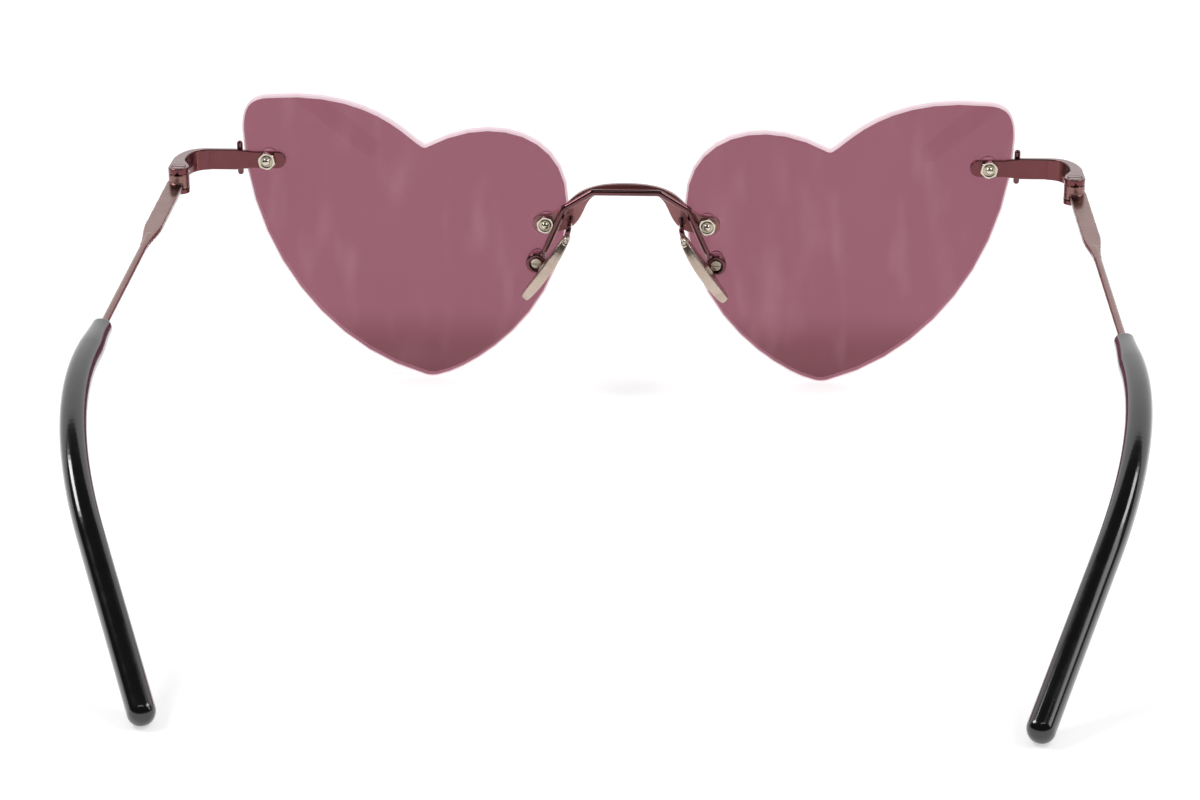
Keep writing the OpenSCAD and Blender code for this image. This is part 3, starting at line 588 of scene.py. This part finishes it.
def wire_tree():
    tree, given = new_tree("Bent_soldered_wire",
                           ("Wire radius", "Bend radius", "Solder length", "Solder swell", "Step"))
    chain = add(tree, "GeometryNodeMeshToCurve", {"Mesh": given["Geometry"]})
    rounded = add(tree, "GeometryNodeFilletCurve", {
        "Curve": chain.outputs[0], "Count": 10, "Radius": given["Bend radius"],
        "Limit Radius": True,
    }, mode="POLY")
    even = add(tree, "GeometryNodeResampleCurve", {
        "Curve": rounded.outputs[0], "Length": given["Step"],
    }, mode="LENGTH")
    along = add(tree, "GeometryNodeSplineParameter").outputs["Length"]
    whole = add(tree, "GeometryNodeSplineLength").outputs["Length"]
    left_over = add(tree, "ShaderNodeMath", {0: whole, 1: along}, operation="SUBTRACT")
    to_end = add(tree, "ShaderNodeMath", {0: along, 1: left_over.outputs[0]}, operation="MINIMUM")
    swell = add(tree, "ShaderNodeMapRange", {
        "Value": to_end.outputs[0], "From Min": 0, "From Max": given["Solder length"],
        "To Min": given["Solder swell"], "To Max": 1,
    }, interpolation_type="SMOOTHSTEP")
    radius = add(tree, "ShaderNodeMath", {0: given["Wire radius"], 1: swell.outputs[0]},
                 operation="MULTIPLY")
    ring = add(tree, "GeometryNodeCurvePrimitiveCircle",
               {"Resolution": given["Sides"], "Radius": 1})
    swept = add(tree, "GeometryNodeCurveToMesh", {
        "Curve": even.outputs[0], "Profile Curve": ring.outputs[0],
        "Scale": radius.outputs[0], "Fill Caps": True,
    })
    return finish_tree(tree, given, swept.outputs[0])


WIRE_TREE = wire_tree()
print("wire tree:", len(WIRE_TREE.nodes), "nodes")

# %% [markdown]
# Cups and stays are turned on a lathe. A lathe needs only half an outline, given as
# points of radius and height, which is swept round an axis. Here every such axis runs
# from front to back, as the screws do.

# %% Lathe


def turned(outline_mm, place_mm, sides=64):
    x, y, z = place_mm
    rings = []
    for k in range(sides):
        turn = 2 * math.pi * k / sides
        rings.append([(x + r * math.cos(turn), y - h, z + r * math.sin(turn))
                      for r, h in outline_mm])
    count = len(outline_mm)
    points = [[c * MM for c in p] for ring in rings for p in ring]
    faces = []
    for k in range(sides):
        for i in range(count):
            j, n = (i + 1) % count, (k + 1) % sides
            faces.append((k * count + i, k * count + j, n * count + j, n * count + i))
    made = bpy.data.meshes.new("turned")
    made.from_pydata(points, [], faces)
    shape = bmesh.new()
    shape.from_mesh(made)
    bmesh.ops.remove_doubles(shape, verts=shape.verts, dist=SEAL_MM * MM)
    bmesh.ops.recalc_face_normals(shape, faces=shape.faces)
    shape.to_mesh(made)
    shape.free()
    return made


def quarter_round(centre_r, centre_h, radius, steps=8):
    turns = [math.radians(90 * i / steps) for i in range(steps + 1)]
    return [(centre_r + radius * math.cos(turn), centre_h + radius * math.sin(turn))
            for turn in turns]


print("a quarter round has", len(quarter_round(0, 0, 1)), "points")

# %% [markdown]
# The lower bridge is one wire with a cup at each end. It runs level behind the strap,
# bends down along the strap's wing and dives forward into the side of its cup. The cup
# is a turned ring with a rounded back edge and a wide recess in which the slotted screw
# sits. Two short stays, each with a collar of solder, tie the wire to the strap. The
# wire's points are half its width, height and distance behind the lenses, and the other
# half is mirrored.

# %% Bridge wire
LENS_BACK_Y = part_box("left_lens")[0].y / MM
BRIDGE_Z, WIRE_BACK = 34.0, 2.85

half_wire = [(5.6, BRIDGE_Z, WIRE_BACK), (10.25, 31.15, WIRE_BACK),
             (13.45, 23.9, 2.7), (14.05, 22.55, 1.45)]
route = [(-u, LENS_BACK_Y - back, z) for u, z, back in reversed(half_wire)]
route += [(u, LENS_BACK_Y - back, z) for u, z, back in half_wire]
wire_mesh = grown(WIRE_TREE, route, Wire_radius=0.53 * MM, Bend_radius=1.5 * MM,
                  Solder_length=1.0 * MM, Solder_swell=1.5, Step=0.12 * MM,
                  Sides=32, Material=wine)
as_piece("bridge_wire_bent", wire_mesh, "wire_lacquer", "front", "bridge_wire")
print("wire", volume_mm3(wire_mesh), "mm3,", len(wire_mesh.polygons), "faces")

# %% [markdown]
# The outline of a cup starts at its bore on the lens side, goes out and round the back
# edge, and comes back in through the recess to the seat of the screw. The outline of a
# stay is a pin with a concave collar, which is the shape that solder takes when it wets
# a corner.

# %% Eyelet cups and stays
CUP_U, CUP_Z, CUP_FACE = 15.1, 21.2, 0.2
CUP_BORE, CUP_RADIUS, CUP_DEPTH, CUP_EDGE, CUP_ROUND = 0.73, 1.75, 2.1, 0.1, 0.42
RECESS_RADIUS, RECESS_EDGE, SEAT_DEPTH = 1.15, 0.07, 1.2
STAY_U, STAY_Z = 10.15, 30.55
ON_AXIS, STAY_FOOT, STAY_TOP = 0.001, 1.2, 2.3

cup_outline = [(CUP_BORE, 0), (CUP_RADIUS - CUP_EDGE, 0), (CUP_RADIUS, CUP_EDGE)]
cup_outline += quarter_round(CUP_RADIUS - CUP_ROUND, CUP_DEPTH - CUP_ROUND, CUP_ROUND)
cup_outline += [(RECESS_RADIUS + RECESS_EDGE, CUP_DEPTH), (RECESS_RADIUS, CUP_DEPTH - RECESS_EDGE),
                (RECESS_RADIUS, SEAT_DEPTH), (CUP_BORE, SEAT_DEPTH)]
stay_outline = [(ON_AXIS, STAY_FOOT), (0.85, STAY_FOOT), (0.62, 1.32), (0.5, 1.5),
                (0.46, 1.8), (0.5, STAY_TOP), (ON_AXIS, STAY_TOP)]
for side, sign in SIDES.items():
    cup = turned(cup_outline, (sign * CUP_U, LENS_BACK_Y - CUP_FACE, CUP_Z))
    as_piece(side + "_eyelet_cup", cup, "wire_lacquer", "front", "bridge_wire",
             smooth_degrees=35)
    stay = turned(stay_outline, (sign * STAY_U, LENS_BACK_Y, STAY_Z), sides=32)
    as_piece(side + "_soldered_stay", stay, "wire_lacquer", "front", "bridge_wire",
             smooth_degrees=50)
    print(side, "cup", volume_mm3(cup), "stay", volume_mm3(stay), "mm3")

# %% [markdown]
# A temple tip is a sleeve of acetate, slid over the end of the temple wire, warmed and
# bent behind the ear. The buffing wheel leaves its section a little square, so its top
# is a soft flat that mirrors one part of the room at a time. That is why it is pale along
# the level stretch and black where it bends down. A tube swept by Geometry Nodes follows
# the bend exactly: it widens from a rounded mouth, keeps its size and closes in a dome.

# %% Sleeve tree


def soft_square(tree, given):
    ring = add(tree, "GeometryNodeCurvePrimitiveCircle",
               {"Resolution": given["Sides"], "Radius": 1})
    point = add(tree, "GeometryNodeInputPosition").outputs[0]
    place = add(tree, "ShaderNodeSeparateXYZ", {0: point}).outputs
    squared = []
    for axis in ("X", "Y"):
        size = add(tree, "ShaderNodeMath", {0: place[axis]}, operation="ABSOLUTE")
        power = add(tree, "ShaderNodeMath", {0: size.outputs[0], 1: given["Section power"]},
                    operation="POWER")
        sign = add(tree, "ShaderNodeMath", {0: place[axis]}, operation="SIGN")
        squared.append(add(tree, "ShaderNodeMath", {0: power.outputs[0], 1: sign.outputs[0]},
                           operation="MULTIPLY").outputs[0])
    flat = add(tree, "ShaderNodeCombineXYZ", {"X": squared[0], "Y": squared[1]})
    return add(tree, "GeometryNodeSetPosition",
               {"Geometry": ring.outputs[0], "Position": flat.outputs[0]}).outputs[0]


def sleeve_tree():
    tree, given = new_tree("Bent_tapered_sleeve", ("Mouth radius", "Mouth round", "Taper length",
                                                   "Full radius", "Section power", "Step"))
    chain = add(tree, "GeometryNodeMeshToCurve", {"Mesh": given["Geometry"]})
    even = add(tree, "GeometryNodeResampleCurve", {
        "Curve": chain.outputs[0], "Length": given["Step"],
    }, mode="LENGTH")
    upright = add(tree, "GeometryNodeSetCurveNormal", {0: even.outputs[0]}, mode="Z_UP")
    along = add(tree, "GeometryNodeSplineParameter").outputs["Length"]
    whole = add(tree, "GeometryNodeSplineLength").outputs["Length"]
    left_over = add(tree, "ShaderNodeMath", {0: whole, 1: along}, operation="SUBTRACT")
    quarters = []
    for distance, reach in ((along, given["Mouth round"]),
                            (left_over.outputs[0], given["Full radius"])):
        short = add(tree, "ShaderNodeMapRange", {
            "Value": distance, "From Min": 0, "From Max": reach, "To Min": 1, "To Max": 0,
        }).outputs[0]
        square = add(tree, "ShaderNodeMath", {0: short, 1: short}, operation="MULTIPLY")
        rest = add(tree, "ShaderNodeMath", {0: 1, 1: square.outputs[0]}, operation="SUBTRACT")
        quarters.append(add(tree, "ShaderNodeMath", {0: rest.outputs[0]},
                            operation="SQRT").outputs[0])
    taper = add(tree, "ShaderNodeMapRange", {
        "Value": along, "From Min": 0, "From Max": given["Taper length"],
        "To Min": given["Mouth radius"], "To Max": given["Full radius"],
    }, interpolation_type="SMOOTHSTEP").outputs[0]
    lip = add(tree, "ShaderNodeMath", {0: quarters[0], 1: given["Mouth round"], 2: taper},
              operation="MULTIPLY_ADD")
    mouth = add(tree, "ShaderNodeMath", {0: lip.outputs[0], 1: given["Mouth round"]},
                operation="SUBTRACT")
    radius = add(tree, "ShaderNodeMath", {0: mouth.outputs[0], 1: quarters[1]},
                 operation="MULTIPLY")
    swept = add(tree, "GeometryNodeCurveToMesh", {
        "Curve": upright.outputs[0], "Profile Curve": soft_square(tree, given),
        "Scale": radius.outputs[0], "Fill Caps": True,
    })
    return finish_tree(tree, given, swept.outputs[0])


SLEEVE_TREE = sleeve_tree()
print("sleeve tree:", len(SLEEVE_TREE.nodes), "nodes")

# %% [markdown]
# The sleeve follows the temple's own line: level with a little slope and splay from the
# hinge, then an arc behind the ear that leans inwards, then straight on until the dome
# at its end stands on the table. The line is worked out in the temple's own frame and
# turned into place.

# %% Temple tips
BLADE_START = Vector((73.7, 55.948, 37.227))
TIP_FROM, BEND_FROM, BEND_RADIUS, TIP_RADIUS = 57.5, 67.6, 59.2, 1.95
SLOPE, SPLAY, BEND_TILT, BEND_ANGLE = (math.radians(d) for d in (5.1, 1.6, 37.0, 38.0))
ALONG_TEMPLE = Matrix.Rotation(SPLAY, 3, "Z") @ Matrix.Rotation(SLOPE, 3, "X")
BEND_STEPS = 40


def bent_at(angle):
    drop = BEND_RADIUS * (1 - math.cos(angle))
    return Vector((-math.sin(BEND_TILT) * drop, -BEND_FROM - BEND_RADIUS * math.sin(angle),
                   -math.cos(BEND_TILT) * drop))


local = [Vector((0, -TIP_FROM, 0))]
local += [bent_at(BEND_ANGLE * i / BEND_STEPS) for i in range(BEND_STEPS + 1)]
path = [ALONG_TEMPLE @ p + BLADE_START for p in local]
heading = ALONG_TEMPLE @ Vector((-math.sin(BEND_TILT) * math.sin(BEND_ANGLE),
                                 -math.cos(BEND_ANGLE),
                                 -math.cos(BEND_TILT) * math.sin(BEND_ANGLE)))
to_table = (path[-1].z - TIP_RADIUS) / -heading.z
path.append(path[-1] + heading * (to_table + TIP_RADIUS))
for side, sign in SIDES.items():
    sleeve = grown(SLEEVE_TREE, [(sign * p.x, p.y, p.z) for p in path],
                   Mouth_radius=1.55 * MM, Mouth_round=0.6 * MM, Taper_length=9 * MM,
                   Full_radius=TIP_RADIUS * MM, Section_power=0.86, Step=0.12 * MM,
                   Sides=48, Material=acetate)
    as_piece(side + "_bent_tip", sleeve, "tip_acetate", side + "_temple_arm",
             side + "_temple_tip", smooth_degrees=60)
    print(side, "tip", volume_mm3(sleeve), "mm3,", len(sleeve.polygons), "faces")

# %% [markdown]
# The stage is a wide pale floor. It looks white to the camera, in the metal and through
# the lenses, while the light that it sends back onto the object is that of plain white
# card. The floor still darkens where the object shades it, because only part of its
# white is its own.

# %% Floor
FLOOR_HALF = 3.0
FLOOR_GLOW = 0.54
WHITE = [1, 1, 1, 1]


def looked_at(tree):
    path = add(tree, "ShaderNodeLightPath").outputs
    mirrored_or_through = add(tree, "ShaderNodeMath", {
        0: path["Is Glossy Ray"], 1: path["Is Transmission Ray"],
    }, operation="MAXIMUM")
    return add(tree, "ShaderNodeMath", {
        0: path["Is Camera Ray"], 1: mirrored_or_through.outputs[0],
    }, operation="MAXIMUM").outputs[0]


def pale_floor():
    made, tree = new_material("White_card_floor")
    card = add(tree, "ShaderNodeBsdfDiffuse", {"Color": linear("#e6e6e6")})
    shaded = add(tree, "ShaderNodeBsdfDiffuse", {"Color": linear("#e0e0e0")})
    glow = add(tree, "ShaderNodeEmission", {"Color": WHITE, "Strength": FLOOR_GLOW})
    lit = add(tree, "ShaderNodeAddShader", {0: shaded.outputs[0], 1: glow.outputs[0]})
    both = add(tree, "ShaderNodeMixShader",
               {0: looked_at(tree), 1: card.outputs[0], 2: lit.outputs[0]})
    add(tree, "ShaderNodeOutputMaterial", {"Surface": both.outputs[0]})
    return made


corners = [(-FLOOR_HALF, -FLOOR_HALF, 0), (FLOOR_HALF, -FLOOR_HALF, 0),
           (FLOOR_HALF, FLOOR_HALF, 0), (-FLOOR_HALF, FLOOR_HALF, 0)]
floor_mesh = bpy.data.meshes.new("floor")
floor_mesh.from_pydata(corners, [], [(0, 1, 2, 3)])
floor_mesh.materials.append(pale_floor())
floor = bpy.data.objects.new("floor", floor_mesh)
bpy.context.scene.collection.objects.link(floor)
print("floor", 2 * FLOOR_HALF, "m wide")

# %% [markdown]
# Round the floor stands a white sweep, low on this side and hung high beyond the
# glasses, under a dim ceiling. Bright metal needs such a dark part in its surroundings,
# or it looks like grey plastic. The sweep's height is given as a share of a direction's
# length, and it rises between two such shares of the way beyond.

# %% Sky
SKY_LIGHT, CEILING_LIGHT = 0.3, 0.06
SWEEP_NEAR, SWEEP_FAR, SWEEP_EDGE = 0.12, 0.87, 0.04
RISE_FROM, RISE_TO = 0.1, 0.5


def white_studio(tree):
    sky = add(tree, "ShaderNodeBackground", {"Color": WHITE, "Strength": SKY_LIGHT})
    direction = add(tree, "ShaderNodeTexCoord").outputs["Generated"]
    part_of = add(tree, "ShaderNodeSeparateXYZ", {0: direction}).outputs
    hung = add(tree, "ShaderNodeMapRange", {
        "Value": part_of["Y"], "From Min": RISE_FROM, "From Max": RISE_TO,
        "To Min": SWEEP_NEAR, "To Max": SWEEP_FAR,
    }, interpolation_type="SMOOTHSTEP")
    above = add(tree, "ShaderNodeMath", {0: part_of["Z"], 1: hung.outputs[0]},
                operation="SUBTRACT")
    sweep = add(tree, "ShaderNodeMapRange", {
        "Value": above.outputs[0], "From Min": 0, "From Max": SWEEP_EDGE,
        "To Min": 1, "To Max": CEILING_LIGHT,
    }, interpolation_type="SMOOTHSTEP")
    white = add(tree, "ShaderNodeBackground", {"Color": WHITE, "Strength": sweep.outputs[0]})
    shown = add(tree, "ShaderNodeMixShader",
                {0: looked_at(tree), 1: sky.outputs[0], 2: white.outputs[0]})
    add(tree, "ShaderNodeOutputWorld", {"Surface": shown.outputs[0]})


world = bpy.data.worlds.new("White_studio")
bpy.context.scene.world = world
world.use_nodes = True
world.node_tree.nodes.clear()
white_studio(world.node_tree)
print("sky:", world.name)

# %% [markdown]
# Two soft boxes stand high at the left and at the right, so every rounded edge and ball
# shows a pair of small highlights. The left one is the stronger, and its shadows fall
# to the right. A tall dim one at the right draws the long soft light on the right tip,
# and a narrow one overhead the thin bright line along the arms' upper edges. A rod
# mirrors a lamp only from certain sides, so their places keep the left tip black. The
# light that the white sweep sends back comes from a low card beyond the glasses. Metal
# mirrors the sweep itself, so the card is hidden from it.

# %% Lamps
middle = (cad_low + cad_high) / 2


def soft_box(name, position, width, depth, watts):
    lamp = bpy.data.lights.new(name, "AREA")
    lamp.shape, lamp.size, lamp.size_y, lamp.energy = "RECTANGLE", width, depth, watts
    made = bpy.data.objects.new(name, lamp)
    made.location = position
    made.rotation_euler = (middle - Vector(position)).to_track_quat("-Z", "Y").to_euler()
    bpy.context.scene.collection.objects.link(made)
    return made


soft_box("left_box", (-0.60, 0.04, 0.80), width=0.30, depth=0.30, watts=3.0)
soft_box("right_box", (0.60, 0.05, 0.80), width=0.30, depth=0.30, watts=1.6)
soft_box("side_box", (0.72, -0.19, 0.66), width=0.20, depth=0.75, watts=1.1)
soft_box("over_box", (0.05, -0.36, 0.93), width=0.50, depth=0.12, watts=0.4)
far_card = soft_box("far_card", (0.0, 1.3, 0.50), width=2.2, depth=0.7, watts=4.6)
far_card.visible_glossy = False

# %% [markdown]
# The camera stands behind the glasses, half a metre away and a little above them, as a
# person looks at glasses that are put down with the lenses away from them. Its place
# and its long lens come from the photograph's perspective.

# %% Camera
CAMERA_PLACE = (17.98 * MM, -446.20 * MM, 187.30 * MM)
CAMERA_AZIMUTH = math.radians(2.5)
CAMERA_PITCH = math.radians(20.4)
FOCAL_LENGTH_MM, SENSOR_MM = 96, 36
NEAREST, FARTHEST = 0.01, 20

camera = bpy.data.objects.new("camera", bpy.data.cameras.new("camera"))
camera.data.lens, camera.data.sensor_width = FOCAL_LENGTH_MM, SENSOR_MM
camera.data.clip_start, camera.data.clip_end = NEAREST, FARTHEST
back = Vector((math.sin(CAMERA_AZIMUTH) * math.cos(CAMERA_PITCH),
               -math.cos(CAMERA_AZIMUTH) * math.cos(CAMERA_PITCH), math.sin(CAMERA_PITCH)))
camera.location = CAMERA_PLACE
camera.rotation_euler = (-back).to_track_quat("-Z", "Y").to_euler()
bpy.context.scene.collection.objects.link(camera)
bpy.context.scene.camera = camera
bpy.context.scene.view_settings.view_transform = "Standard"
print("camera", round((Vector(CAMERA_PLACE) - middle).length / MM), "mm from the middle")
